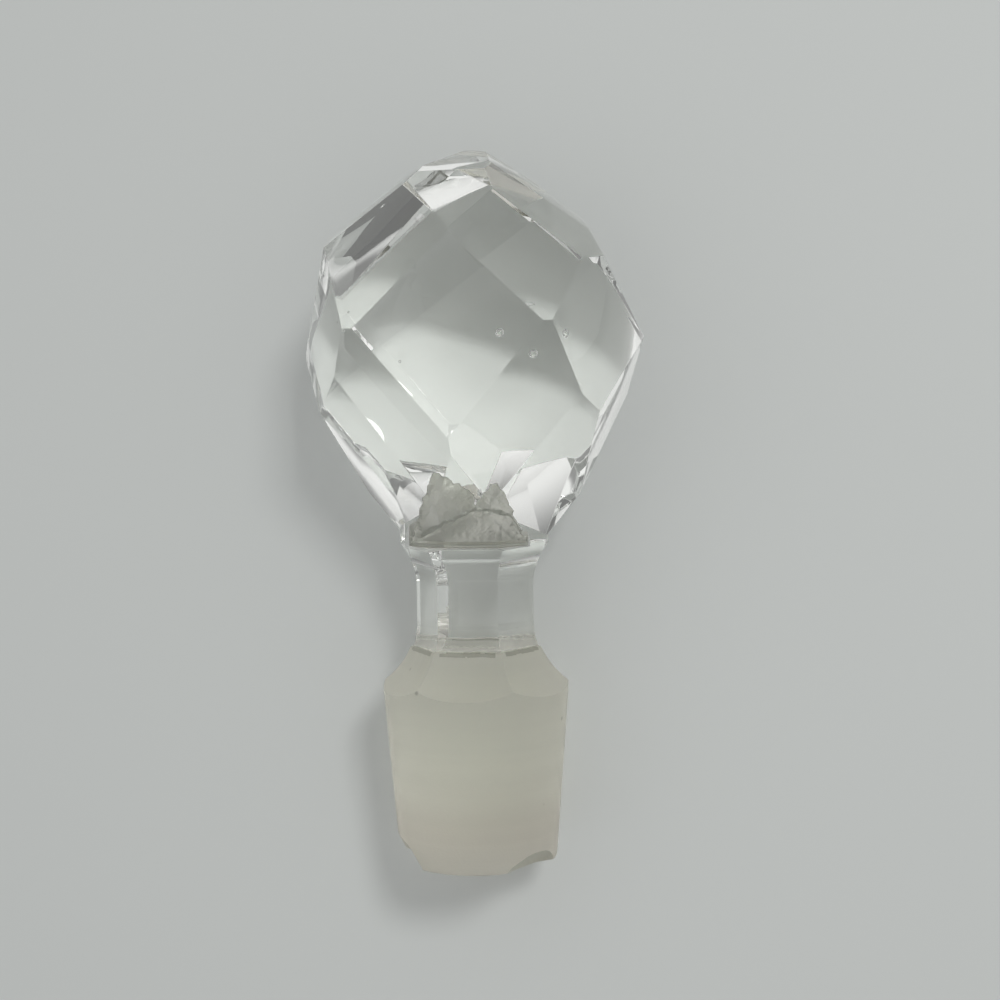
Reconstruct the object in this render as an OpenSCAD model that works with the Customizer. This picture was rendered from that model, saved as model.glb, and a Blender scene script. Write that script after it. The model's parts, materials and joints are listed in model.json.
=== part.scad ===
// Cut-glass bottle stopper: a faceted ball, a six-fluted neck and a ground taper
// plug, all one piece of glass, lying on its side as it comes to rest.
//
// The stopper is worked out standing on its axis, with the ball's middle at [0, 0, 0],
// the crown at the top and the plug below. Azimuth 0 looks along -Y and azimuths grow
// towards +X. at_rest() then lays it on the table, with the crown towards +Y.

/* [Ball] */
// Distance from the ball's middle to the facets round its girdle
ball_r = 17.5; // [15:0.1:20]
// How much further out the facet that the stopper lies on is
rest_extra = -0.2; // [-1:0.1:0.8]
// How much further out the facets next to the girdle lie, on the crown side
upper_extra = 0.5; // [0.2:0.1:1]
// How much further out the facets next to the girdle lie, on the neck side
lower_extra = 0.9; // [0.5:0.1:1.4]
// How much further out the second row lies on the crown side
shoulder_extra = 1.0; // [0.6:0.1:1.5]
// How much further out the second row lies on the neck side
under_extra = 2.3; // [1.9:0.1:2.8]
// How much further out the crown facets lie
crown_extra = 2.7; // [2:0.1:3]
// How much further out the small flat on top of the crown lies
table_extra = 4.1; // [3.6:0.1:4.6]
// Turn of the whole ball about its axis, in degrees
ball_turn = -8; // [-30:1:30]

/* [Neck] */
// Distance from the axis to the bottom of a flute
neck_r = 6.1; // [5:0.1:7]
// Radius of the wheel that cut the flutes
wheel_r = 8.9; // [8:0.1:11]
// How far below the top of the flutes the wheel first reached its full depth
flute_lead = 5.2; // [4:0.1:6]
// How far the wheel then ran along the neck at full depth
flute_run = 4.4; // [2:0.1:8]
// Turn of the flutes about the axis, in degrees
flute_turn = -7; // [-30:1:30]

/* [Plug] */
// Diameter of the plug at its shoulder
plug_top_d = 22.1; // [20:0.1:24]
// Length of the ground taper
plug_len = 19.9; // [15:0.1:26]
// Length of plug over which its diameter narrows by one
taper = 6; // [5:0.5:12]

/* [Hidden] */
$fn = 96;

glass = [0.86, 0.89, 0.87, 0.45];

// Facets in a row and the angle from one to the next
row_count = 6;
row_step = 360 / row_count;

// Rise of each row's facets above the girdle plane, in degrees
girdle_rise = -1.5;
upper_rise = 27;
lower_rise = -27.5;
shoulder_rise = 46.5;
under_rise = -34;
crown_rise = 66;

plug_r = plug_top_d / 2;
end_r = plug_r - plug_len / taper / 2;
// Half the width across flats of the rough collar that is left above the flutes
collar_r = neck_r + wheel_r - sqrt(wheel_r ^ 2 - flute_lead ^ 2);

// Heights along the axis, all measured down from the ball's middle. The flutes start where
// the facets next to the girdle have narrowed the ball to the collar.
neck_drop = (collar_r * cos(lower_rise) - ball_r - lower_extra) / sin(lower_rise);
flute_first = neck_drop + flute_lead;
flute_last = flute_first + flute_run;
lip_drop = flute_last + sqrt(wheel_r ^ 2 - (wheel_r - plug_r + neck_r) ^ 2);
end_drop = lip_drop + plug_len;

// The stopper lies on the rear facet of its girdle and on the rim of the plug's end. The
// slope of its axis as it lies, which is also how far that facet leans towards the plug:
rest_r = ball_r + rest_extra;
slope = asin(rest_r / norm([end_r, end_drop])) - atan(end_r / end_drop);
rest = [0, -slope - girdle_rise, rest_extra];
rear = row_count / 2;

// Hand-cut unevenness of each row, one entry a facet, starting at the front and going
// towards +X: how much the facet is turned and raised (degrees) and set out (mm)
even = [0, 0, 0];
girdle_uneven = [[1, 0, 0], [6, 0, -0.2], [6, 0, 1], rest, [-6, 0, 2], [-4.5, 1, 0.1]];
upper_uneven = [[0.5, -1, 0], [0.5, -0.5, 0], even, even, [1, 0, 0.3], [1, 0, -0.2]];
lower_uneven = [[4.5, 1.5, 0], [-7, 6.5, 0.4], even, even, [2, 0, 1.6], [-4.5, 0, 0]];
shoulder_uneven = [[0, 0.5, 0.5], [-2.5, -2.5, -0.8], even, even, [0, 0, -0.6], [0, 3, 0.2]];
under_uneven = [[3, -11, 1.9], [-10, 0.5, -0.8], even, [0, 0, -1.2], even, [9.5, 1, -1.4]];
crown_uneven = [[0, 0, -0.5], [12, -15, -2.2], [0, 0, -0.2], even, even, [0, 0, -0.3]];

function row(turn, rise, extra, uneven) =
    [for (i = [0 : row_count - 1])
        [turn + row_step * i + uneven[i].x, rise + uneven[i].y, ball_r + extra + uneven[i].z]];

half = row_step / 2;
girdle = row(ball_turn, girdle_rise, 0, girdle_uneven);
upper = row(ball_turn + half, upper_rise, upper_extra, upper_uneven);
lower = row(ball_turn + half, lower_rise, lower_extra, lower_uneven);
shoulder = row(ball_turn, shoulder_rise, shoulder_extra, shoulder_uneven);
under = row(ball_turn, under_rise, under_extra, under_uneven);
crown = row(ball_turn, crown_rise, crown_extra, crown_uneven);
table = [0, 90, ball_r + table_extra];
facets = concat(girdle, upper, lower, shoulder, under, crown, [table]);

// The rough ball is bigger than any corner that the facets leave
rough_r = ball_r * 1.4;

// Chips round the collar: azimuth (degrees), how far out from the collar and how far above
// the flutes the hollow's middle is, and its radius. The first two are at the front.
collar_scars = [[-18, 8.1, 2, 7], [12, 5.9, 2.4, 5], [60, 4.8, 0.7, 3.6],
    [-75, 5.2, -0.3, 4.2], [150, 5, 0.3, 3.4], [215, 5.3, 0.1, 3.8]];
// Chips out of the plug's end: azimuth, how far out and how far below the edge that it
// broke from the hollow's middle is, and its radius
end_scars = [[-75, 6.6, 7, 12], [45, 9, 9, 14]];

// Place from azimuth, distance from the axis and drop
function place(azimuth, out, drop) = [out * sin(azimuth), -out * cos(azimuth), -drop];

// Unit vector that a facet faces along
function facing(f) = [cos(f[1]) * sin(f[0]), -cos(f[1]) * cos(f[0]), sin(f[1])];
normals = [for (f = facets) facing(f)];

// Every corner of the ball: where three facets' planes meet with no facet cutting further in
function meet(i, j, k) =
    let (u = normals[i], v = normals[j], w = normals[k])
    (facets[i][2] * cross(v, w) + facets[j][2] * cross(w, u) + facets[k][2] * cross(u, v))
    / (u * cross(v, w));
function spare(p) = min([for (i = [0 : len(facets) - 1]) facets[i][2] - normals[i] * p]);
last = len(facets) - 1;
corners = [for (i = [0 : last - 2]) for (j = [i + 1 : last - 1]) for (k = [j + 1 : last])
    let (p = meet(i, j, k)) if (spare(p) > -0.001) p];

// A point of the standing stopper, laid down
function laid(p) =
    let (turn = 180 - girdle[rear][0],
        back = p.x * sin(turn) + p.y * cos(turn))
    [p.x * cos(turn) - p.y * sin(turn),
        back * sin(slope) + p.z * cos(slope),
        p.z * sin(slope) - back * cos(slope)];
laid_corners = [for (p = corners) laid(p)];
laid_x = [for (p = laid_corners) p.x];
crown_y = max([for (p = laid_corners) p.y]);
end_y = -end_drop * cos(slope) - end_r * sin(slope);

module beyond(f) {
    // Everything outside one facet's plane
    size = 4 * ball_r;
    rotate([0, 0, f[0]]) rotate([-f[1], 0, 0]) translate([0, -f[2] - size / 2, 0])
        cube(size, center = true);
}

module ball() {
    difference() {
        sphere(r = rough_r);
        for (f = facets) beyond(f);
    }
}

module wheel_cut() {
    // One flute: the wheel's edge at full depth along flute_run
    out = neck_r + wheel_r;
    width = 3 * plug_r;
    for (drop = [flute_first, flute_last])
        translate([0, -out, -drop]) rotate([0, 90, 0]) cylinder(r = wheel_r, h = width, center = true);
    translate([0, -out, -(flute_first + flute_last) / 2])
        cube([width, 2 * wheel_r, flute_run], center = true);
}

module chipped_ball() {
    difference() {
        ball();
        for (s = collar_scars) translate(place(s[0], collar_r + s[1], neck_drop - s[2])) sphere(r = s[3]);
    }
}

module collar() {
    // Rough hexagon between the ball and the flutes
    rotate([0, 0, flute_turn - 90 + half]) translate([0, 0, -neck_drop])
        cylinder(r = collar_r / cos(half), h = neck_drop / 2, $fn = row_count);
}

module chipped_plug() {
    difference() {
        translate([0, 0, -end_drop]) cylinder(r1 = end_r, r2 = plug_r, h = plug_len);
        for (s = end_scars) translate(place(s[0], end_r + s[1], end_drop + s[2])) sphere(r = s[3]);
    }
}

module standing_stopper() {
    difference() {
        union() {
            chipped_ball();
            collar();
            translate([0, 0, -lip_drop]) cylinder(r = plug_r, h = lip_drop - neck_drop);
            chipped_plug();
        }
        for (i = [0 : row_count - 1]) rotate([0, 0, flute_turn + row_step * i]) wheel_cut();
    }
}

module at_rest() {
    // Lays its child down, with the middle of its outline over the origin
    translate([-(min(laid_x) + max(laid_x)) / 2, -(crown_y + end_y) / 2, rest_r])
        rotate([slope - 90, 0, 0]) rotate([0, 0, 180 - girdle[rear][0]]) children();
}

module stopper() color(glass) at_rest() standing_stopper();

stopper();
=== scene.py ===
"""Cut-glass bottle stopper, lying on its side on a plain pale table.

The stopper is one piece of glass: a faceted ball, a neck of six flutes and a plug that
is ground to fit its bottle. It is shaped standing on its axis, in millimetres, with the
ball's middle at the origin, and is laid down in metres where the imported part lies.
Azimuth 0 looks along -Y of the standing stopper and azimuths grow towards +X. A drop is
a distance down the axis from the ball's middle.
"""
import json
import logging
import math
from dataclasses import dataclass, field
from enum import Enum
from itertools import combinations

import bmesh
import bpy
import numpy as np
from mathutils import Matrix, Vector


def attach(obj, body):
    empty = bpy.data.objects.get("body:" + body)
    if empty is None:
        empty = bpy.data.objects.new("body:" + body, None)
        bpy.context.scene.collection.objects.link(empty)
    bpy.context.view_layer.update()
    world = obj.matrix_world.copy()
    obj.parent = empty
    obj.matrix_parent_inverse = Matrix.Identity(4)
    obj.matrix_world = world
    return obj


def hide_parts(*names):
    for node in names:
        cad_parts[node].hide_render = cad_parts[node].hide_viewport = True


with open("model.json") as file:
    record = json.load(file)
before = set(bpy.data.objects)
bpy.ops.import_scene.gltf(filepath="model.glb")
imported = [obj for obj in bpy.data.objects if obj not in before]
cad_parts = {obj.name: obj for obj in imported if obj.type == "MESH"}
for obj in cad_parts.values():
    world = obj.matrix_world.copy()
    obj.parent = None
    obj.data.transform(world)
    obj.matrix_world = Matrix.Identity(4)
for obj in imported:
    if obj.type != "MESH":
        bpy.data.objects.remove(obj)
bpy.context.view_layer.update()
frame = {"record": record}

LOG = logging.getLogger("stopper")
MM = 0.001


class Join(Enum):
    """How one solid is put together with another."""

    ADD = "UNION"
    CUT = "DIFFERENCE"


class Finish(Enum):
    """The finishes that the glass has, in the order of its material slots."""

    POLISHED = 0
    GROUND = 1
    BROKEN = 2


# ---------------------------------------------------------------- numbers and meshes


def linear(colour: str) -> tuple[float, float, float, float]:
    """Turns an sRGB hex colour to linear light.

    Args:
        colour: the colour as "#rrggbb".

    Returns:
        Red, green, blue and an alpha of 1.
    """
    parts = np.array([int(colour[i:i + 2], 16) / 255 for i in (1, 3, 5)])
    light = np.where(parts <= 0.04045, parts / 12.92, ((parts + 0.055) / 1.055) ** 2.4)
    return (*light.tolist(), 1.0)


def place(azimuth: float, out: float, drop: float) -> np.ndarray:
    """Gives a point of the standing stopper.

    Args:
        azimuth: degrees round the axis.
        out: distance from the axis, in millimetres.
        drop: distance down the axis, in millimetres.

    Returns:
        The point as x, y, z.
    """
    turn = math.radians(azimuth)
    return np.array([out * math.sin(turn), -out * math.cos(turn), -drop])


def unevenness(points: np.ndarray, wave: float, seed: int, octaves: int = 3) -> np.ndarray:
    """Works out a smooth random height at each point.

    The height is a sum of sine waves in random directions: each octave has five waves,
    half as long and a little over half as high as the octave before.

    Args:
        points: an array whose last axis is x, y, z.
        wave: length of the longest waves, in the points' own unit.
        seed: picks the directions and the phases.
        octaves: how many times the waves are halved, plus one.

    Returns:
        Heights of about -1 to 1, one a point.
    """
    chance = np.random.default_rng(seed)
    height = np.zeros(points.shape[:-1])
    total = 0.0
    for octave in range(octaves):
        share = 0.55 ** octave
        ways = chance.normal(size=(5, 3))
        ways /= np.linalg.norm(ways, axis=1, keepdims=True)
        phases = chance.uniform(0, 2 * math.pi, 5)
        angles = points @ ways.T * (2 * math.pi * 2 ** octave / wave) + phases
        height += share * np.sin(angles).sum(axis=-1) / 2.6
        total += share
    return height / total


def grid_quads(rows: int, columns: int, wrap: bool) -> np.ndarray:
    """Lists the four-sided faces of a grid of points.

    Args:
        rows: number of rows of points.
        columns: number of points in a row.
        wrap: whether the last column joins the first.

    Returns:
        An array of faces, each of four indices.
    """
    wide = columns if wrap else columns - 1
    row, column = np.meshgrid(np.arange(rows - 1), np.arange(wide), indexing="ij")
    after = (column + 1) % columns
    quads = [row * columns + column, row * columns + after,
             (row + 1) * columns + after, (row + 1) * columns + column]
    return np.stack(quads, axis=-1).reshape(-1, 4)


def solid(name: str, points: np.ndarray, faces: list, finish: Finish) -> bpy.types.Object:
    """Makes a mesh object whose faces point outwards.

    Args:
        name: name of the object.
        points: corners, one a row.
        faces: each face as a list of indices into points.
        finish: the finish of every face.

    Returns:
        The object, linked to the scene.
    """
    mesh = bpy.data.meshes.new(name)
    mesh.from_pydata(points.reshape(-1, 3), [], faces)
    sheet = bmesh.new()
    sheet.from_mesh(mesh)
    bmesh.ops.remove_doubles(sheet, verts=sheet.verts, dist=1e-5)
    bmesh.ops.recalc_face_normals(sheet, faces=sheet.faces)
    sheet.to_mesh(mesh)
    sheet.free()
    for _ in Finish:
        mesh.materials.append(None)
    mesh.polygons.foreach_set("material_index", np.full(len(mesh.polygons), finish.value, np.int32))
    thing = bpy.data.objects.new(name, mesh)
    bpy.context.scene.collection.objects.link(thing)
    return thing


def turned(name: str, radii: np.ndarray, drops: np.ndarray, finish: Finish) -> bpy.types.Object:
    """Makes a closed solid from a wall of one radius for each drop and azimuth.

    A point is at radius times (sine, minus cosine) of its azimuth, and as far below the
    ball's middle as its row's drop. A flat face closes each end.

    Args:
        name: name of the object.
        radii: radius for each drop (rows) and azimuth (columns).
        drops: the drop of each row.
        finish: the finish of every face.

    Returns:
        The object.
    """
    rows, columns = radii.shape
    turn = np.linspace(0, 2 * math.pi, columns, endpoint=False)
    wall = np.stack([radii * np.sin(turn), -radii * np.cos(turn),
                     np.repeat(-drops[:, None], columns, axis=1)], axis=-1)
    faces = grid_quads(rows, columns, wrap=True).tolist()
    faces += [list(range(columns)), list(range((rows - 1) * columns, rows * columns))]
    return solid(name, wall, faces, finish)


def blob(name: str, middle: np.ndarray, size: np.ndarray, rough: float, wave: float,
         seed: int, finish: Finish) -> bpy.types.Object:
    """Makes a closed, uneven ball, to break a chip out with.

    A point is the middle plus the size times a unit direction, times one plus rough
    times a random height that depends on the direction.

    Args:
        name: name of the object.
        middle: its middle.
        size: its half width along x, y and z.
        rough: how far the unevenness goes, as a part of the size.
        wave: length of the longest waves, as a part of the size.
        seed: picks the unevenness.
        finish: the finish that it leaves behind.

    Returns:
        The object.
    """
    rows, columns = 60, 96
    tilt = np.linspace(0.02, math.pi - 0.02, rows)[:, None]
    turn = np.linspace(0, 2 * math.pi, columns, endpoint=False)[None]
    way = np.stack([np.sin(tilt) * np.cos(turn), np.sin(tilt) * np.sin(turn),
                    np.cos(tilt) * np.ones_like(turn)], axis=-1)
    bump = 1 + rough * unevenness(way, wave, seed, octaves=4)
    points = middle + way * bump[..., None] * size
    faces = grid_quads(rows, columns, wrap=True).tolist()
    faces += [list(range(columns)), list(range((rows - 1) * columns, rows * columns))]
    return solid(name, points, faces, finish)


def slab(name: str, inner: np.ndarray, finish: Finish, turn: float = 0,
         far: float = -30) -> bpy.types.Object:
    """Makes a closed solid between a shaped sheet and a flat one in front of it.

    The outer sheet has the inner one's x and z, and its y is the same everywhere. A row
    of faces round the rim joins the two.

    Args:
        name: name of the object.
        inner: a grid of points, as rows, columns and x, y, z.
        finish: the finish of every face.
        turn: how far the solid is turned round the axis, in degrees.
        far: y of the flat sheet, in millimetres.

    Returns:
        The object.
    """
    outer = inner.copy()
    outer[..., 1] = far
    rows, columns = inner.shape[:2]
    size = rows * columns
    rim = np.concatenate([np.arange(columns), np.arange(1, rows) * columns + columns - 1,
                          np.arange(columns - 2, -1, -1) + (rows - 1) * columns,
                          np.arange(rows - 2, 0, -1) * columns])
    after = np.roll(rim, -1)
    side = np.stack([rim, after, after + size, rim + size], axis=-1)
    quads = grid_quads(rows, columns, wrap=False)
    points = np.concatenate([inner.reshape(-1, 3), outer.reshape(-1, 3)])
    points = points @ np.array(Matrix.Rotation(math.radians(turn), 3, "Z")).T
    return solid(name, points, np.concatenate([quads, quads + size, side]).tolist(), finish)


def join(body: bpy.types.Object, tool: bpy.types.Object, how: Join) -> None:
    """Adds a solid to the body, or cuts it out, and removes it.

    Args:
        body: the solid that changes.
        tool: the solid that is added or cut out.
        how: which of the two.
    """
    change = body.modifiers.new(tool.name, "BOOLEAN")
    change.operation = how.value
    change.solver = "MANIFOLD"
    change.object = tool
    bpy.context.view_layer.update()
    seen = body.evaluated_get(bpy.context.evaluated_depsgraph_get())
    made = bpy.data.meshes.new_from_object(seen)
    body.modifiers.clear()
    old, body.data = body.data, made
    bpy.data.meshes.remove(old)
    bpy.data.objects.remove(tool)


# ---------------------------------------------------------------- where it lies


@dataclass(frozen=True)
class Pose:
    """Where the stopper lies: its ball's middle, the slope of its axis and its turn."""

    middle: np.ndarray
    slope: float
    turn: float

    @classmethod
    def of_part(cls, record: dict, plug_middle_drop: float, turn: float) -> "Pose":
        """Works the pose out from the plug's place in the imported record.

        Args:
            record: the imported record.
            plug_middle_drop: how far down the axis the plug's middle is, in millimetres.
            turn: turn of the stopper about its own axis, in degrees.

        Returns:
            The pose.
        """
        mount = record["mounts"][0]
        axis = np.array(mount["axis"])
        middle = np.array(mount["pos_m"]) - axis * plug_middle_drop * MM
        return cls(middle, math.asin(-axis[2]), math.radians(turn))

    def matrix(self) -> np.ndarray:
        """Gives the matrix that turns standing directions to lying ones."""
        lean = self.slope - math.pi / 2
        about_x = np.array(Matrix.Rotation(lean, 3, "X"))
        about_z = np.array(Matrix.Rotation(self.turn, 3, "Z"))
        return about_x @ about_z

    def lay(self, points: np.ndarray) -> np.ndarray:
        """Lays standing points, in millimetres, down in metres."""
        return points @ self.matrix().T * MM + self.middle


# ---------------------------------------------------------------- the glass, part by part


@dataclass(frozen=True)
class FacetRow:
    """A row of six facets round the ball.

    The rise is in degrees above the girdle's plane and the extra is how much further out
    than the girdle the facets lie. Every facet has its own unevenness: how much more it
    is turned and raised, in degrees, and set out, in millimetres.
    """

    between: bool
    rise: float
    extra: float
    uneven: tuple[tuple[float, float, float], ...]


LEVEL = (0, 0, 0)


@dataclass
class CutBall:
    """The ball: a solid between flat facets, whose edges the polishing has just eased."""

    pose: Pose
    girdle_r: float = 17.5
    turn: float = -8.0
    edge: float = 0.06
    rows: tuple[FacetRow, ...] = (
        FacetRow(False, -1.5, 0, ((1, 0, 0), (6, 0, -0.2), (6, 0, 1), LEVEL, (-6, 0, 2), (-4.5, 1, 0.1))),
        FacetRow(True, 27, 0.5, ((0.5, -1, 0), (0.5, -0.5, 0), LEVEL, LEVEL, (1, 0, 0.3), (1, 0, -0.2))),
        FacetRow(True, -27.5, 0.9, ((4.5, 1.5, 0), (-7, 6.5, 0.4), LEVEL, LEVEL, (2, 0, 1.6), (-4.5, 0, 0))),
        FacetRow(False, 46.5, 1.0, (
            (0, 0.5, 0.5), (-2.5, -2.5, -0.8), LEVEL, LEVEL, (0, 0, -0.6), (0, 3, 0.2))),
        FacetRow(False, -34, 2.3, (
            (3, -11, 1.9), (-10, 0.5, -0.8), LEVEL, (0, 0, -1.2), LEVEL, (9.5, 1, -1.4))),
        FacetRow(False, 66, 2.7, ((0, 0, -0.5), (12, -15, -2.2), (0, 0, -0.2), LEVEL, LEVEL, (0, 0, -0.3))),
    )
    table_extra: float = 4.1
    rest: int = 3

    def planes(self) -> tuple[np.ndarray, np.ndarray]:
        """Works out the ball's facets.

        A row's facets are sixty degrees apart, and every other row starts half as much
        further round. The facet that the stopper lies on is level once it is laid down,
        so it leans by the slope, and it is as far out as the ball's middle is high.

        Returns:
            The facets' unit normals and their distances from the ball's middle.
        """
        facets = []
        for row in self.rows:
            uneven = np.array(row.uneven, float)
            turn = self.turn + (30 if row.between else 0) + 60 * np.arange(6)
            even = [turn, np.full(6, row.rise), np.full(6, self.girdle_r + row.extra)]
            facets.append(np.column_stack(even) + uneven)
        facets = np.concatenate([*facets, [[0, 90, self.girdle_r + self.table_extra]]])
        facets[self.rest, 1:] = -math.degrees(self.pose.slope), self.pose.middle[2] / MM
        turn, rise = np.radians(facets[:, 0]), np.radians(facets[:, 1])
        normals = np.column_stack([np.cos(rise) * np.sin(turn), -np.cos(rise) * np.cos(turn), np.sin(rise)])
        return normals, facets[:, 2]

    def blank(self) -> bpy.types.Object:
        """Builds the ball from its facets.

        Its corners are the points where three facets' planes meet with no other facet
        cutting further in. Each facet joins its corners in the order of their angle
        round its middle.

        Returns:
            The ball, with its edges eased.
        """
        normals, reach = self.planes()
        trios = np.array(list(combinations(range(len(reach)), 3)))
        firm = np.abs(np.linalg.det(normals[trios])) > 1e-4
        meets = np.linalg.solve(normals[trios][firm], reach[trios[firm]][..., None])[..., 0]
        meets = meets[(meets @ normals.T - reach).max(axis=1) < 1e-3]
        _, first = np.unique(np.round(meets, 3), axis=0, return_index=True)
        corners = meets[first]
        faces = []
        for normal, out in zip(normals, reach):
            ring = np.flatnonzero(np.abs(corners @ normal - out) < 2e-3)
            arms = corners[ring] - corners[ring].mean(axis=0)
            side = np.cross(normal, arms[0])
            angle = np.arctan2(arms @ side, arms @ np.cross(side, normal))
            faces.append(ring[np.argsort(angle)].tolist())
        LOG.info("ball: %d facets, %d corners", len(faces), len(corners))
        ball = solid("ball", corners, faces, Finish.POLISHED)
        sheet = bmesh.new()
        sheet.from_mesh(ball.data)
        bmesh.ops.bevel(sheet, geom=list(sheet.edges), offset=self.edge, offset_type="OFFSET",
                        segments=2, profile=0.5, affect="EDGES", clamp_overlap=True)
        sheet.to_mesh(ball.data)
        sheet.free()
        return ball


@dataclass
class FlutedNeck:
    """The neck: a rough collar and a shoulder, with six flutes cut by a round wheel."""

    neck_r: float = 6.1
    wheel_r: float = 8.9
    collar_r: float = 7.777
    shoulder_r: float = 11.05
    first: float = 30.109
    last: float = 34.509
    top: float = 24.909
    lip: float = 42.484
    turn: float = -7.0
    ledge: float = 37.3
    ledge_width: float = 0.24
    step: float = 0.28
    wander: float = 0.16
    reach: float = 13.0
    flutes: int = 6

    def collar(self) -> bpy.types.Object:
        """Builds the six-sided collar that joins the ball to the flutes.

        Its radius is the half width across flats over the cosine of the angle from the
        nearest flat.
        """
        turn = np.linspace(0, 360, 6 * 16, endpoint=False)
        off = (turn - self.turn + 30) % 60 - 30
        drops = np.linspace(self.top / 2, self.top + 3, 4)
        radii = self.collar_r / np.cos(np.radians(off)) * np.ones((4, 1))
        return turned("collar", radii, drops, Finish.POLISHED)

    def depth(self, drop: np.ndarray) -> np.ndarray:
        """Gives how far from the axis the wheel's edge is.

        The wheel runs at full depth between its first and last places, and before and
        after them the surface rises along a circle of the wheel's radius.

        Args:
            drop: distances down the axis.

        Returns:
            The distance from the axis at each drop.
        """
        away = np.maximum(np.maximum(self.first - drop, drop - self.last), 0)
        return self.neck_r + self.wheel_r - np.sqrt(np.maximum(self.wheel_r ** 2 - away ** 2, 0))

    def wheel_cut(self, index: int) -> bpy.types.Object:
        """Builds what the wheel takes out for one flute.

        Its inner side is the wheel's edge carried straight across the flute. Below the
        ledge it stands a step further out, because the ground shoulder was left proud of
        the polished flute, and the ledge wanders a little across the flute.

        Args:
            index: which flute, counted from the front.

        Returns:
            The solid to cut out.
        """
        # The cut stops just short of where the wheel's edge would stand square to the axis
        low, high = self.first - self.wheel_r * 0.999, self.last + self.wheel_r * 0.999
        swing = self.wheel_r * np.sin(np.linspace(0, math.pi / 2 * 0.97, 40))
        half_step = self.ledge_width / 2
        drops = np.sort(np.concatenate([
            self.first - swing, np.linspace(self.first, self.last, 8)[1:-1], self.last + swing,
            np.linspace(self.ledge - 5 * half_step, self.ledge + 5 * half_step, 11),
            [self.ledge - half_step, self.ledge + half_step], [low, high]]))
        across = np.linspace(-self.reach, self.reach, 105)
        drop, side = np.meshgrid(drops, across, indexing="ij")
        wander = self.wander * unevenness(np.stack([side, side * 0, side * 0], -1), 5, 40 + index)
        past = np.clip((drop - self.ledge) / self.ledge_width + 0.5, 0, 1)
        close = np.exp(-((drop - self.ledge) / 1.5) ** 2)
        out = self.depth(drop) + self.step * past
        inner = np.stack([side, -out, -(drop + wander * close)], axis=-1)
        return slab(f"flute_{index}", inner, Finish.POLISHED, self.turn + 360 / self.flutes * index)


@dataclass
class GroundPlug:
    """The plug: a plain taper, ground to fit, with an eased rim at its end."""

    shoulder_r: float = 11.05
    end_r: float = 9.392
    lip: float = 42.484
    end: float = 62.384
    top: float = 24.909
    rim: float = 0.25

    def blank(self) -> bpy.types.Object:
        """Builds the shoulder and the taper as one turned solid.

        The radius is even down to the lip and then narrows steadily to the end. The last
        stretch is a small round at the rim.
        """
        wall = np.concatenate([np.linspace(self.top, self.lip, 30)[:-1],
                               np.linspace(self.lip, self.end - self.rim, 60)])
        radius = np.interp(wall, [self.lip, self.end], [self.shoulder_r, self.end_r])
        bend = np.linspace(0, math.pi / 2, 5)[1:]
        drops = np.concatenate([wall, self.end - self.rim * (1 - np.sin(bend))])
        radius = np.concatenate([radius, radius[-1] - self.rim * (1 - np.cos(bend))])
        radii = radius[:, None] * np.ones((1, 256))
        return turned("plug", radii, drops, Finish.GROUND)


@dataclass(frozen=True)
class Chip:
    """A chip: where the hollow's middle is, its half widths and its unevenness."""

    azimuth: float
    out: float
    drop: float
    size: tuple[float, float, float]
    rough: float = 0.06
    wave: float = 1.2
    seed: int = 1

    def tool(self, name: str) -> bpy.types.Object:
        """Builds the solid that the chip takes out."""
        return blob(name, place(self.azimuth, self.out, self.drop), np.array(self.size),
                    self.rough, self.wave, self.seed, Finish.BROKEN)


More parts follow.
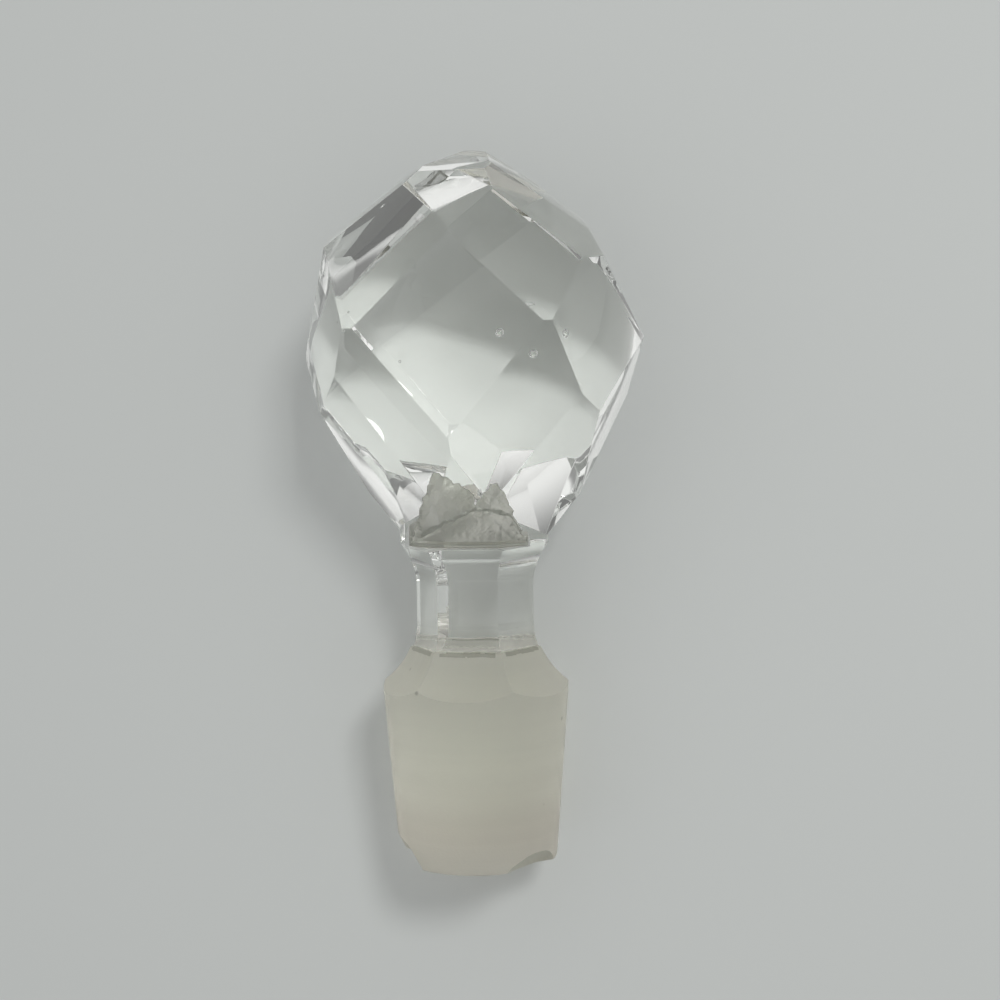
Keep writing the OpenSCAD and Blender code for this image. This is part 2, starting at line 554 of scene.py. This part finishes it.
@dataclass(frozen=True)
class Breakage:
    """The rough break across the front of the collar, where the wheel tore the ball's foot.

    Its outline is a row of points, each x and drop, over the break. The ridge runs across
    its lower half and stands almost as high as the glass around it: its height is a share
    of the hollow's depth. Left, right, high and foot bound the break, and the lip is how
    wide the rise out of the glass is.
    """

    outline: tuple[tuple[float, float], ...] = (
        (-7.2, 24.2), (-6.4, 22.0), (-5.9, 20.4), (-4.1, 16.4), (-3.5, 16.5), (-1.1, 17.9), (0.2, 18.9),
        (0.5, 20.3), (0.8, 19.6), (2.1, 17.8), (2.9, 17.9), (4.3, 20.1), (4.8, 21.5), (5.8, 24.2))
    ridge: tuple[tuple[float, float], ...] = (
        (-6.8, 24.4), (-3.0, 22.5), (0.2, 20.9), (2.4, 21.1), (4.5, 21.9), (5.6, 23.8))
    foot: float = 24.75
    left: float = -7.4
    right: float = 6.2
    high: float = 15.6
    depth: float = 1.1
    step: float = 0.30
    slope: float = 0.32
    lip: float = 0.12
    ridge_height: float = 0.85
    ridge_width: float = 0.28
    jag: float = 0.22
    seed: int = 21

    def tool(self, name: str, ball: CutBall) -> bpy.types.Object:
        """Builds the solid that the break takes out.

        Seen from the front, each point of a grid of x and drop has the depth of the ball's
        front there, which is the innermost of its facets' planes. The break lies deeper by
        a step just below its outline and then by a slope, rises to the ridge, and rises out
        of the glass at its foot and outside its outline.

        Args:
            name: name of the solid.
            ball: the ball that is broken.

        Returns:
            The solid.
        """
        across = np.linspace(self.left - 0.2, self.right + 0.2, 176)
        down = np.linspace(self.high, self.foot + 0.4, 124)
        drop, side = np.meshgrid(down, across, indexing="ij")
        spots = np.stack([side, side * 0, -drop], axis=-1)
        normals, reach = ball.planes()
        ahead = normals[:, 1] < -0.05
        fronts = (reach[ahead] - spots @ normals[ahead].T) / normals[ahead, 1]
        front = fronts.max(axis=-1)
        jagged = drop + self.jag * unevenness(spots, 1.3, self.seed, octaves=4)
        shaken = side + self.jag * unevenness(spots, 1.1, self.seed + 1)
        under = jagged - np.interp(shaken, *np.array(self.outline).T)
        past_ridge = jagged - np.interp(side, *np.array(self.ridge).T)
        hollow = np.minimum(self.step + self.slope * under, self.depth)
        hollow *= 1 - self.ridge_height * np.exp(-(past_ridge / self.ridge_width) ** 2)
        hollow += 0.07 * unevenness(spots, 0.8, self.seed + 2, octaves=4)
        hollow += 0.10 * unevenness(spots, 2.6, self.seed + 3)
        inside = np.minimum.reduce([under, self.foot - drop, side - self.left, self.right - side])
        rim = np.clip(inside / self.lip, -1, 1)
        dug = front + np.where(rim > 0, rim * np.maximum(hollow, 0.02), 0.6 * rim)
        return slab(name, np.stack([side, dug, -drop], axis=-1), Finish.BROKEN)


@dataclass(frozen=True)
class Bubble:
    """A bubble inside the glass, by its place in the standing stopper and its size."""

    middle: tuple[float, float, float]
    radius: float

    def tool(self, name: str) -> bpy.types.Object:
        """Builds the round hollow of the bubble."""
        return blob(name, np.array(self.middle), np.full(3, self.radius), 0.03, 3.0, 7, Finish.POLISHED)


# ---------------------------------------------------------------- finishes


def add_node(tree: bpy.types.NodeTree, kind: str, settings: dict | None = None,
             links: dict | None = None) -> bpy.types.Node:
    """Adds a node with its settings and links.

    Args:
        tree: the tree that gets the node.
        kind: the node's type.
        settings: a value for each property or input, by name or number.
        links: an output socket for each input, by name or number.

    Returns:
        The node.
    """
    node = tree.nodes.new(kind)
    for name, value in (settings or {}).items():
        if isinstance(name, str) and hasattr(node, name):
            setattr(node, name, value)
        else:
            node.inputs[name].default_value = value
    for name, socket in (links or {}).items():
        tree.links.new(socket, node.inputs[name])
    return node


def new_tree(name: str) -> tuple[bpy.types.Material, bpy.types.NodeTree]:
    """Makes an empty material.

    Args:
        name: its name.

    Returns:
        The material and its node tree.
    """
    material = bpy.data.materials.new(name)
    material.use_nodes = True
    material.node_tree.nodes.clear()
    return material, material.node_tree


@dataclass(frozen=True)
class Lamp:
    """A round soft lamp: its direction (degrees), distance and width (metres) and watts."""

    azimuth: float = 50.0
    rise: float = 60.0
    distance: float = 0.6
    width: float = 0.13
    power: float = 1.16

    def way(self) -> np.ndarray:
        """Gives the unit vector from the table towards the lamp."""
        azimuth, rise = math.radians(self.azimuth), math.radians(self.rise)
        level = math.cos(rise)
        return np.array([math.sin(azimuth) * level, math.cos(azimuth) * level, math.sin(rise)])


@dataclass(frozen=True)
class PaintedCausticPool:
    """How much of the lamp's light comes through the glass to each place on the table.

    Cut glass gathers the light into a bright patch, and here that patch is painted: the
    share is drawn as a painted pool of light with a soft edge, and the rest of the shadow
    under the glass is painted dim. The patch is given by its middle and half widths
    (millimetres on the table), its turn (degrees) and how soft its edge is.
    """

    middle: tuple[float, float] = (-4.3, 13.1)
    half: tuple[float, float] = (10.5, 10.3)
    turn: float = -19.0
    soft: float = 0.25
    bright: float = 1.6
    dim: float = 0.12
    lamp: Lamp = Lamp()

    def share(self, tree: bpy.types.NodeTree) -> bpy.types.NodeSocket:
        """Works out the share of light at the table below a point, looking from the lamp.

        A point's place on the table is where the lamp's ray through it lands: its x and y
        less the lamp's slope times its height. In the patch's own axes, with half widths
        of one, u to the fourth plus v to the fourth is one along a rounded oblong, and the
        share eases from bright to dim across that: painted light inside, painted shadow outside.

        Args:
            tree: the material's nodes.

        Returns:
            The socket that gives the share.
        """
        # Painted light: a drawn patch, not refraction, sets how much lamp light reaches the table under the
        # glass
        way = self.lamp.way()
        where = add_node(tree, "ShaderNodeTexCoord")
        lands = [add_node(tree, "ShaderNodeVectorMath", {"operation": "DOT_PRODUCT", 1: axis},
                          {0: where.outputs["Object"]}).outputs["Value"]
                 for axis in ((1, 0, -way[0] / way[2]), (0, 1, -way[1] / way[2]))]
        spot = add_node(tree, "ShaderNodeCombineXYZ", {}, {"X": lands[0], "Y": lands[1]})
        patch = add_node(tree, "ShaderNodeMapping", {
            "vector_type": "TEXTURE", "Location": (self.middle[0] * MM, self.middle[1] * MM, 0),
            "Rotation": (0, 0, math.radians(self.turn)), "Scale": (self.half[0] * MM, self.half[1] * MM, 1)},
            {"Vector": spot.outputs["Vector"]})
        squares = add_node(tree, "ShaderNodeVectorMath", {"operation": "MULTIPLY"},
                           {0: patch.outputs["Vector"], 1: patch.outputs["Vector"]})
        reach = add_node(tree, "ShaderNodeVectorMath", {"operation": "LENGTH"},
                         {0: squares.outputs["Vector"]})
        share = add_node(tree, "ShaderNodeMapRange", {
            "interpolation_type": "SMOOTHSTEP", "From Min": 1 - self.soft, "From Max": 1 + self.soft,
            "To Min": self.bright, "To Max": self.dim}, {"Value": reach.outputs["Value"]})
        return share.outputs[0]

    def paint_caustic_through(self, tree: bpy.types.NodeTree, shader: bpy.types.Node) -> None:
        """Lets the lamp's rays through the glass, so that they reach the table under it.

        A ray from the table pays the painted share where it enters, and leaves freely, so the
        painted pool of light and painted shadow fall on the table. A ray that starts inside
        the glass is stopped, because the shader itself lights it.

        Args:
            tree: the material's nodes.
            shader: the glass shader.
        """
        path = add_node(tree, "ShaderNodeLightPath")
        side = add_node(tree, "ShaderNodeNewGeometry")
        entered = add_node(tree, "ShaderNodeMath", {"operation": "MINIMUM", 1: 1.0},
                           {0: path.outputs["Transparent Depth"]})
        amount = add_node(tree, "ShaderNodeMix", {"data_type": "FLOAT"},
                          {0: side.outputs["Backfacing"], 2: self.share(tree), 3: entered.outputs[0]})
        # Lamp rays pass the glass at the painted share, painting a pool of light and a dim shadow on the
        # table
        through = add_node(tree, "ShaderNodeBsdfTransparent", {}, {"Color": amount.outputs[0]})
        either = add_node(tree, "ShaderNodeMixShader", {}, {
            0: path.outputs["Is Shadow Ray"], 1: shader.outputs["BSDF"], 2: through.outputs["BSDF"]})
        add_node(tree, "ShaderNodeOutputMaterial", {}, {"Surface": either.outputs["Shader"]})


@dataclass(frozen=True)
class PolishedGlass:
    """Potash glass, cut on a wheel and polished: clear, bright and just greenish."""

    ior: float = 1.52
    colour: str = "#FCFDFA"
    roughness: float = 0.0

    def material(self, light: PaintedCausticPool) -> bpy.types.Material:
        """Builds the material, with the faint waves that hand polishing leaves.

        Args:
            light: how the lamp's light comes through, as a painted pool of light and painted shadow on the
                table.

        Returns:
            The material.
        """
        material, tree = new_tree("polished_cut_glass")
        where = add_node(tree, "ShaderNodeTexCoord")
        waves = add_node(tree, "ShaderNodeTexNoise", {"Scale": 90.0, "Detail": 1.0},
                         {"Vector": where.outputs["Object"]})
        bump = add_node(tree, "ShaderNodeBump", {"Strength": 0.012, "Distance": 0.0001},
                        {"Height": waves.outputs["Fac"]})
        shader = add_node(tree, "ShaderNodeBsdfPrincipled",
                          {"Base Color": linear(self.colour), "Roughness": self.roughness, "IOR": self.ior,
                           "Transmission Weight": 1.0}, {"Normal": bump.outputs["Normal"]})
        light.paint_caustic_through(tree, shader)
        return material


@dataclass(frozen=True)
class GroundGlass:
    """The same glass, ground with grit: grey white and dull, as light scatters through it.

    The stain starts and ends at two drops down the axis, in millimetres.
    """

    ior: float = 1.52
    clean: str = "#F5F4EC"
    stain: str = "#EBE7DF"
    stained: tuple[float, float] = (53.0, 58.5)

    def material(self, pose: Pose) -> bpy.types.Material:
        """Builds the material, with a faint stain towards the plug's end.

        Args:
            pose: where the stopper lies.

        Returns:
            The material.
        """
        material, tree = new_tree("ground_glass")
        where = add_node(tree, "ShaderNodeTexCoord")
        down = pose.matrix() @ np.array([0, 0, -1.0])
        along = add_node(tree, "ShaderNodeVectorMath", {"operation": "DOT_PRODUCT", 1: tuple(down)},
                         {0: where.outputs["Object"]})
        base = float(down @ pose.middle)
        stain = add_node(tree, "ShaderNodeMapRange", {
            "interpolation_type": "SMOOTHSTEP", "From Min": base + self.stained[0] * MM,
            "From Max": base + self.stained[1] * MM}, {"Value": along.outputs["Value"]})
        tone = add_node(tree, "ShaderNodeMix", {
            "data_type": "RGBA", 6: linear(self.clean), 7: linear(self.stain)}, {0: stain.outputs[0]})
        # Rings that the grinding left round the taper, about two millimetres apart
        ring = add_node(tree, "ShaderNodeTexNoise", {"noise_dimensions": "1D", "Scale": 500.0, "Detail": 3.0},
                        {"W": along.outputs["Value"]})
        cloud = add_node(tree, "ShaderNodeTexNoise", {"Scale": 160.0, "Detail": 4.0, "Roughness": 0.6},
                         {"Vector": where.outputs["Object"]})
        both = add_node(tree, "ShaderNodeMath", {"operation": "ADD"},
                        {0: ring.outputs["Fac"], 1: cloud.outputs["Fac"]})
        shade = add_node(tree, "ShaderNodeMapRange", {
            "From Min": 0.6, "From Max": 1.4, "To Min": 0.965, "To Max": 1.035}, {"Value": both.outputs[0]})
        # Grit pits that hold dirt: a few dark specks about half a millimetre wide
        pits = add_node(tree, "ShaderNodeTexVoronoi", {"feature": "F1", "Scale": 300.0},
                        {"Vector": where.outputs["Object"]})
        speck = add_node(tree, "ShaderNodeMapRange", {
            "From Min": 0.05, "From Max": 0.10, "To Min": 0.55, "To Max": 1.0},
            {"Value": pits.outputs["Distance"]})
        dull = add_node(tree, "ShaderNodeVectorMath", {"operation": "SCALE"},
                        {0: tone.outputs[2], "Scale": shade.outputs[0]})
        dirty = add_node(tree, "ShaderNodeVectorMath", {"operation": "SCALE"},
                         {0: dull.outputs[0], "Scale": speck.outputs[0]})
        grit = add_node(tree, "ShaderNodeTexNoise", {"Scale": 4500.0, "Detail": 2.0},
                        {"Vector": where.outputs["Object"]})
        bump = add_node(tree, "ShaderNodeBump", {"Strength": 0.35, "Distance": 0.00005},
                        {"Height": grit.outputs["Fac"]})
        shader = add_node(tree, "ShaderNodeBsdfPrincipled",
                          {"Roughness": 0.72, "IOR": self.ior, "Transmission Weight": 1.0},
                          {"Base Color": dirty.outputs[0], "Normal": bump.outputs["Normal"]})
        add_node(tree, "ShaderNodeOutputMaterial", {}, {"Surface": shader.outputs["BSDF"]})
        return material


@dataclass(frozen=True)
class BrokenGlass:
    """A worn break in the glass: grey and half dull, with the ripples of a shell."""

    ior: float = 1.52
    colour: str = "#A8A89C"
    roughness: float = 0.33

    def material(self, light: PaintedCausticPool) -> bpy.types.Material:
        """Builds the material, with ripples about half a millimetre apart.

        Args:
            light: how the lamp's light comes through, as a painted pool of light and painted shadow on the
                table.

        Returns:
            The material.
        """
        material, tree = new_tree("broken_glass")
        where = add_node(tree, "ShaderNodeTexCoord")
        ripple = add_node(tree, "ShaderNodeTexNoise", {"Scale": 1500.0, "Detail": 3.0, "Distortion": 1.0},
                          {"Vector": where.outputs["Object"]})
        bump = add_node(tree, "ShaderNodeBump", {"Strength": 0.45, "Distance": 0.0002},
                        {"Height": ripple.outputs["Fac"]})
        shader = add_node(tree, "ShaderNodeBsdfPrincipled",
                          {"Base Color": linear(self.colour), "Roughness": self.roughness, "IOR": self.ior,
                           "Transmission Weight": 1.0}, {"Normal": bump.outputs["Normal"]})
        light.paint_caustic_through(tree, shader)
        return material


@dataclass(frozen=True)
class TablePaper:
    """Matt card that lies under the stopper: pale grey and plain."""

    colour: str = "#BEC1BF"

    def material(self) -> bpy.types.Material:
        """Builds the material."""
        material, tree = new_tree("matt_card")
        shader = add_node(tree, "ShaderNodeBsdfPrincipled",
                          {"Base Color": linear(self.colour), "Roughness": 0.9})
        add_node(tree, "ShaderNodeOutputMaterial", {}, {"Surface": shader.outputs["BSDF"]})
        return material


# ---------------------------------------------------------------- the whole stopper


@dataclass
class Stopper:
    """The whole stopper, as one closed piece of glass.

    The scars are round chips at the collar and the chips are at the plug's end. Where a
    flute meets the shoulder, the glass is broken over the ledge break's height and the
    ledge half's width to each side, in millimetres. Edges bend sharply past the sharp
    angle, in degrees.
    """

    pose: Pose
    neck: FlutedNeck = field(default_factory=FlutedNeck)
    plug: GroundPlug = field(default_factory=GroundPlug)
    breakage: Breakage = Breakage()
    ledge_break: float = 0.45
    ledge_half: float = 3.3
    sharp: float = 14.0
    scars: tuple[Chip, ...] = (
        Chip(60, 12.6, 24.0, (3.6, 3.6, 3.6), 0.08, 1.0, 3),
        Chip(-75, 13.0, 24.9, (4.2, 4.2, 4.2), 0.08, 1.0, 5),
        Chip(150, 12.8, 24.6, (3.4, 3.4, 3.4), 0.08, 1.0, 7),
        Chip(215, 13.1, 24.8, (3.8, 3.8, 3.8), 0.08, 1.0, 9),
    )
    chips: tuple[Chip, ...] = (
        Chip(-75, 16.0, 69.4, (12, 12, 12), 0.02, 0.7, 11),
        Chip(45, 18.4, 71.4, (14, 14, 14), 0.02, 0.7, 12),
    )
    bubbles: tuple[Bubble, ...] = (
        Bubble((3.89, 2.97, -0.14), 0.48),
        Bubble((-7.2, -10.0, -4.0), 0.16),
        Bubble((-11.8, -8.0, 0.6), 0.14),
    )

    def build(self) -> bpy.types.Object:
        """Builds the glass standing, in millimetres, and lays it down in metres.

        Returns:
            The finished piece.
        """
        ball = CutBall(self.pose)
        glass = ball.blank()
        join(glass, self.neck.collar(), Join.ADD)
        join(glass, self.plug.blank(), Join.ADD)
        for index in range(self.neck.flutes):
            join(glass, self.neck.wheel_cut(index), Join.CUT)
        join(glass, self.breakage.tool("breakage", ball), Join.CUT)
        for number, chip in enumerate(self.scars + self.chips):
            join(glass, chip.tool(f"chip_{number}"), Join.CUT)
        for number, bubble in enumerate(self.bubbles):
            join(glass, bubble.tool(f"bubble_{number}"), Join.CUT)
        glass.name = glass.data.name = "cut_glass"
        self.sort_finishes(glass.data)
        mesh = glass.data
        points = np.empty(len(mesh.vertices) * 3)
        mesh.vertices.foreach_get("co", points)
        mesh.vertices.foreach_set("co", self.pose.lay(points.reshape(-1, 3)).ravel())
        mesh.update()
        self.ease(mesh)
        LOG.info("glass: %d points, %d faces", len(mesh.vertices), len(mesh.polygons))
        return glass

    def sort_finishes(self, mesh: bpy.types.Mesh) -> None:
        """Gives every face its finish by how far down the axis it is.

        Faces above the ledge are polished and the ones below it are ground. The step
        between them is a row of small breaks, left where the wheel ran out.

        Args:
            mesh: the standing glass.
        """
        middles = np.empty(len(mesh.polygons) * 3)
        mesh.polygons.foreach_get("center", middles)
        middles = middles.reshape(-1, 3)
        past = -middles[:, 2] - self.neck.ledge
        azimuth = np.degrees(np.arctan2(middles[:, 0], -middles[:, 1]))
        turn = np.radians((azimuth - self.neck.turn + 30) % 60 - 30)
        across = np.hypot(middles[:, 0], middles[:, 1]) * np.sin(turn)
        half = self.ledge_break / 2
        stepped = (np.abs(past - half) < half) & (np.abs(across) < self.ledge_half)
        kinds = np.empty(len(mesh.polygons), np.int32)
        mesh.polygons.foreach_get("material_index", kinds)
        plain = np.where(past > 0, Finish.GROUND.value, Finish.POLISHED.value)
        kinds = np.where((kinds == Finish.BROKEN.value) | stepped, Finish.BROKEN.value, plain)
        mesh.polygons.foreach_set("material_index", kinds.astype(np.int32))

    def ease(self, mesh: bpy.types.Mesh) -> None:
        """Shades the glass smooth, but sharp where two faces bend by more than the sharp angle.

        Args:
            mesh: the glass.
        """
        sheet = bmesh.new()
        sheet.from_mesh(mesh)
        for face in sheet.faces:
            face.smooth = True
        for edge in sheet.edges:
            edge.smooth = len(edge.link_faces) == 2 and edge.calc_face_angle() < math.radians(self.sharp)
        sheet.to_mesh(mesh)
        sheet.free()

    def dress(self, glass: bpy.types.Object) -> None:
        """Gives the glass its three finishes and ties it to the frame.

        Args:
            glass: the finished piece.
        """
        # The painted pool of light and painted shadow that the glass lets the lamp put on the table
        light = PaintedCausticPool()
        finishes = (PolishedGlass().material(light), GroundGlass().material(self.pose),
                    BrokenGlass().material(light))
        for finish, material in zip(Finish, finishes):
            glass.data.materials[finish.value] = material
        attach(glass, "root")
        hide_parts("stopper")
        LOG.info("cut_glass rides on root")


# ---------------------------------------------------------------- table, light and camera


@dataclass
class Studio:
    """A plain pale table, soft light from the upper right and a camera overhead.

    The room's light eases from the walls' strength to the overhead one between the wall
    top and the ceiling, which are heights on a globe of radius 1. The shade is the share
    that is left right overhead, past its edge, and the backdrop is how bright the room
    looks beyond the table. The gap, in millimetres, keeps the table just under the
    stopper. The camera's distance and centre are in thousandths of the picture's width,
    its scale is how many of those a millimetre takes, and its nod and roll are in degrees.
    """

    pose: Pose
    lamp: Lamp = Lamp()
    walls: float = 0.15
    overhead: float = 0.92
    wall_top: float = 0.25
    ceiling: float = 0.8
    backdrop: float = 0.5
    shade: float = 0.3
    shade_edge: tuple[float, float] = (0.95, 0.985)
    gap: float = 0.05
    scale: float = 8.4
    distance: float = 1400.0
    nod: float = 1.5
    roll: float = 0.9
    centre: tuple[float, float] = (-29.4, 166.9)

    def table(self) -> None:
        """Lays the table just under the stopper."""
        mesh = bpy.data.meshes.new("table")
        half = 1.5
        mesh.from_pydata([(-half, -half, -self.gap * MM), (half, -half, -self.gap * MM),
                          (half, half, -self.gap * MM), (-half, half, -self.gap * MM)], [], [(0, 1, 2, 3)])
        mesh.materials.append(TablePaper().material())
        table = bpy.data.objects.new("table", mesh)
        bpy.context.scene.collection.objects.link(table)

    def light(self) -> None:
        """Lights the table: an even room and one soft lamp, high up on the right."""
        world = bpy.data.worlds.new("room")
        bpy.context.scene.world = world
        world.use_nodes = True
        tree = world.node_tree
        tree.nodes.clear()
        where = add_node(tree, "ShaderNodeTexCoord")
        height = add_node(tree, "ShaderNodeSeparateXYZ", {}, {0: where.outputs["Generated"]})
        glow = add_node(tree, "ShaderNodeMapRange", {
            "interpolation_type": "SMOOTHSTEP", "From Min": self.wall_top, "From Max": self.ceiling,
            "To Min": self.walls, "To Max": self.overhead}, {"Value": height.outputs["Z"]})
        # A dark shape right overhead, as of someone who leans over the table
        shade = add_node(tree, "ShaderNodeMapRange", {
            "interpolation_type": "SMOOTHSTEP", "From Min": self.shade_edge[0],
            "From Max": self.shade_edge[1], "To Min": 1.0, "To Max": self.shade},
            {"Value": height.outputs["Z"]})
        left = add_node(tree, "ShaderNodeMath", {"operation": "MULTIPLY"},
                        {0: glow.outputs[0], 1: shade.outputs[0]})
        # The backdrop past the table's edge is as pale as the table
        path = add_node(tree, "ShaderNodeLightPath")
        seen = add_node(tree, "ShaderNodeMix", {"data_type": "FLOAT", 3: self.backdrop},
                        {0: path.outputs["Is Camera Ray"], 2: left.outputs[0]})
        room = add_node(tree, "ShaderNodeBackground", {"Color": (1, 1, 1, 1)}, {"Strength": seen.outputs[0]})
        add_node(tree, "ShaderNodeOutputWorld", {}, {"Surface": room.outputs[0]})
        data = bpy.data.lights.new("soft_lamp", "AREA")
        data.shape = "DISK"
        data.size = self.lamp.width
        data.energy = self.lamp.power
        lamp = bpy.data.objects.new("soft_lamp", data)
        way = self.lamp.way()
        aim = Vector(way).to_track_quat("Z", "Y").to_matrix().to_4x4()
        lamp.matrix_world = Matrix.Translation((way * self.lamp.distance).tolist()) @ aim
        bpy.context.scene.collection.objects.link(lamp)

    def camera(self) -> None:
        """Sets the camera up over the stopper.

        The camera looks at the standing stopper's front with a small nod and roll, from a
        distance of the focal length over the scale, and is then laid down with it.
        """
        nod, roll = math.radians(self.nod), math.radians(self.roll)
        up = np.array([-math.sin(roll) * math.cos(nod), math.cos(roll) * math.cos(nod), math.sin(nod)])
        front = np.array([math.sin(roll) * math.sin(nod), -math.cos(roll) * math.sin(nod), math.cos(nod)])
        seen = np.array([np.cross(up, front), -front, up])
        spot = seen @ ((np.array([0, 0, self.distance]) - np.array([*self.centre, 0])) / self.scale)
        turned_axes = self.pose.matrix() @ seen
        data = bpy.data.cameras.new("camera")
        data.sensor_width = 36
        data.lens = 36 * self.distance / 1000
        data.clip_start = 0.01
        camera = bpy.data.objects.new("camera", data)
        placed = np.eye(4)
        placed[:3, :3] = turned_axes
        placed[:3, 3] = self.pose.lay(spot[None])[0]
        camera.matrix_world = Matrix(placed.tolist())
        bpy.context.scene.collection.objects.link(camera)
        bpy.context.scene.camera = camera


def main() -> None:
    """Builds the studio and the stopper."""
    logging.basicConfig(level=logging.INFO, format="%(name)s: %(message)s")
    bpy.context.scene.view_settings.view_transform = "Standard"
    light_paths = bpy.context.scene.cycles
    # Light turns many times inside cut glass before it finds a way out
    light_paths.max_bounces = light_paths.glossy_bounces = light_paths.transmission_bounces = 24
    pose = Pose.of_part(frame["record"], plug_middle_drop=(GroundPlug.lip + GroundPlug.end) / 2, turn=8)
    LOG.info("ball's middle %s, slope %.3f", pose.middle.round(5).tolist(), math.degrees(pose.slope))
    studio = Studio(pose)
    studio.table()
    studio.light()
    studio.camera()
    stopper = Stopper(pose)
    stopper.dress(stopper.build())


if __name__ == "__main__":
    main()
